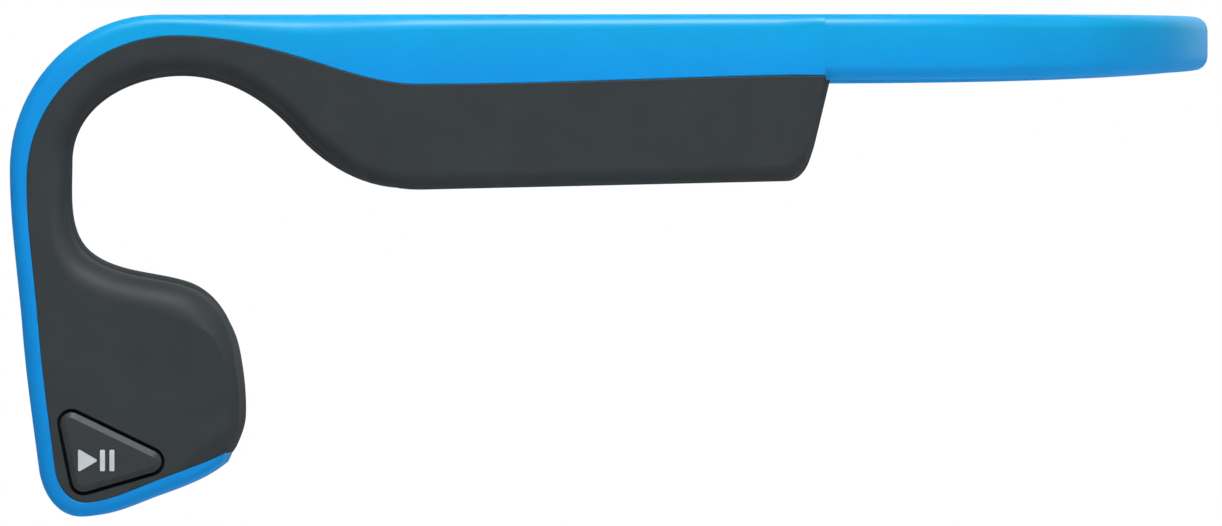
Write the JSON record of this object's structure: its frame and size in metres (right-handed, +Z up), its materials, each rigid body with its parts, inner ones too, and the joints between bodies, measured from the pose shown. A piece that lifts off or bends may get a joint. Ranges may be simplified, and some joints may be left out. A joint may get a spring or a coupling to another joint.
{
  "type": "bone conduction headphones",
  "caption": "Open-ear bone conduction headphones: a sprung neckband carries a control pod, an ear hook and a padded vibrating speaker on each side.",
  "frame": {"origin": "centre of the bounding box, on the plane of symmetry between the two arms", "axes": "+X towards the back of the wearer's neck, +Y towards the wearer's right ear, +Z up as worn"},
  "size_m": [0.1289, 0.14, 0.053],
  "materials": {
    "blue_skin": "satin over-moulded skin",
    "dark_shell": "matte, finely textured",
    "pad_skin": "soft matte silicone",
    "black_seal": "matte silicone",
    "button_cap": "matte with a bevelled edge",
    "volume_cap": "matte",
    "black_plastic": "moulded",
    "spring_wire": "drawn wire",
    "lead": "insulated lead",
    "bare_metal": "plated",
    "copper": "wound copper",
    "board": "solder mask",
    "cell_foil": "foil pouch",
    "light_lens": "clear light guide"
  },
  "bodies": {
    "neckband": {"neckband_sleeve": "blue_skin", "neckband_wire": "spring_wire", "neckband_cable": "lead"},
    "left_arm": {"left_arm_trim": "blue_skin", "left_outer_shell": "dark_shell", "left_inner_shell": "dark_shell", "left_hook_wire": "spring_wire", "left_hook_cable": "lead", "left_exciter_frame": "black_plastic", "left_yoke": "bare_metal", "left_magnet": "bare_metal", "left_pole_plate": "bare_metal", "left_spring_plate": "bare_metal", "button_seal": "black_seal", "button_switch": "bare_metal", "switch_board": "board", "battery": "cell_foil", "battery_board": "board"},
    "left_panel": {"left_vibration_panel": "black_plastic", "left_voice_coil": "copper", "left_pad": "pad_skin"},
    "multifunction_button": {"multifunction_button": "button_cap"},
    "right_arm": {"right_arm_trim": "blue_skin", "right_outer_shell": "dark_shell", "right_inner_shell": "dark_shell", "right_hook_wire": "spring_wire", "right_hook_cable": "lead", "right_exciter_frame": "black_plastic", "right_yoke": "bare_metal", "right_magnet": "bare_metal", "right_pole_plate": "bare_metal", "right_spring_plate": "bare_metal", "main_board": "board", "usb_socket": "bare_metal", "volume_switches": "bare_metal", "status_light": "light_lens", "microphone": "bare_metal"},
    "right_panel": {"right_vibration_panel": "black_plastic", "right_voice_coil": "copper", "right_pad": "pad_skin"},
    "usb_cover": {"usb_cover": "black_seal"},
    "volume_up_button": {"volume_up_button": "volume_cap"},
    "volume_down_button": {"volume_down_button": "volume_cap"}
  },
  "joints": [
    {"name": "left_arm_flex", "type": "hinge", "parent": "neckband", "child": "left_arm", "pos_m": [0.05469, -0.05218, 0.0235], "axis": [0, 0, 1], "range_deg": [-6, 14], "stiffness_Nm_per_rad": 0.5, "deforming": ["neckband_sleeve", "neckband_wire", "neckband_cable"]},
    {"name": "right_arm_flex", "type": "hinge", "parent": "neckband", "child": "right_arm", "pos_m": [0.05469, 0.05218, 0.0235], "axis": [0, 0, -1], "range_deg": [-6, 14], "stiffness_Nm_per_rad": 0.5, "deforming": ["neckband_sleeve", "neckband_wire", "neckband_cable"]},
    {"name": "left_panel_vibration", "type": "slide", "parent": "left_arm", "child": "left_panel", "axis": [0.1045, 0.9945, 0], "range_m": [-0.00015, 0.00015], "stiffness_N_per_m": 4000, "deforming": ["left_spring_plate"]},
    {"name": "right_panel_vibration", "type": "slide", "parent": "right_arm", "child": "right_panel", "axis": [0.1045, -0.9945, 0], "range_m": [-0.00015, 0.00015], "stiffness_N_per_m": 4000, "deforming": ["right_spring_plate"]},
    {"name": "multifunction_press", "type": "slide", "parent": "left_arm", "child": "multifunction_button", "axis": [0.1045, 0.9945, 0], "range_m": [0, 0.00035], "stiffness_N_per_m": 2000},
    {"name": "volume_up_press", "type": "slide", "parent": "right_arm", "child": "volume_up_button", "axis": [-0.0232, -0.0024, 0.9997], "range_m": [0, 0.00035], "stiffness_N_per_m": 2000},
    {"name": "volume_down_press", "type": "slide", "parent": "right_arm", "child": "volume_down_button", "axis": [-0.0232, -0.0024, 0.9997], "range_m": [0, 0.00035], "stiffness_N_per_m": 2000},
    {"name": "usb_cover_hinge", "type": "hinge", "parent": "right_arm", "child": "usb_cover", "pos_m": [0.01559, 0.06504, 0.00955], "axis": [0.1045, -0.9945, 0], "range_deg": [0, 95], "stiffness_Nm_per_rad": 0.0005}
  ]
}
